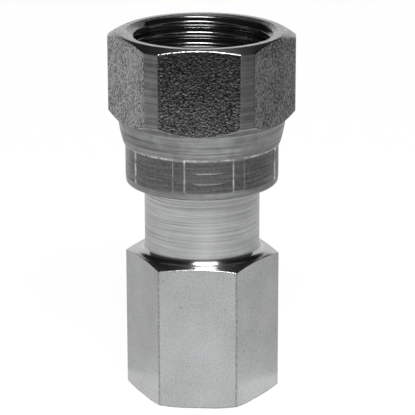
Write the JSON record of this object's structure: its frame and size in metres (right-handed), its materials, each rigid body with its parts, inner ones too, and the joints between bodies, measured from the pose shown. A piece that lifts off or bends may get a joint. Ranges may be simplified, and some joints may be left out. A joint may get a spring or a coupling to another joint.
{
  "type": "female o-ring face seal swivel fitting",
  "caption": "Straight steel hose and tube fitting: a hexagonal tail with a pipe port in its base and a swivel nut crimped on to its turned neck.",
  "frame": {"origin": "centre of the tail's flat base, on the flow axis", "axes": "+Z along the flow axis, from the pipe port to the swivel nut; the tail's front and back flats face -Y and +Y"},
  "size_m": [0.0263, 0.0242, 0.0528],
  "materials": {
    "tail_steel": "bright plated, satin flats and turned neck",
    "nut_steel": "darker plated, grainy forged flats and turned skirt"
  },
  "bodies": {
    "tail": {"tail_body": "tail_steel"},
    "nut": {"swivel_nut": "nut_steel"}
  },
  "joints": [
    {"name": "nut_spin", "type": "hinge", "parent": "tail", "child": "nut", "pos_m": [0, 0, 0.0364], "axis": [0, 0, 1], "continuous": true}
  ]
}
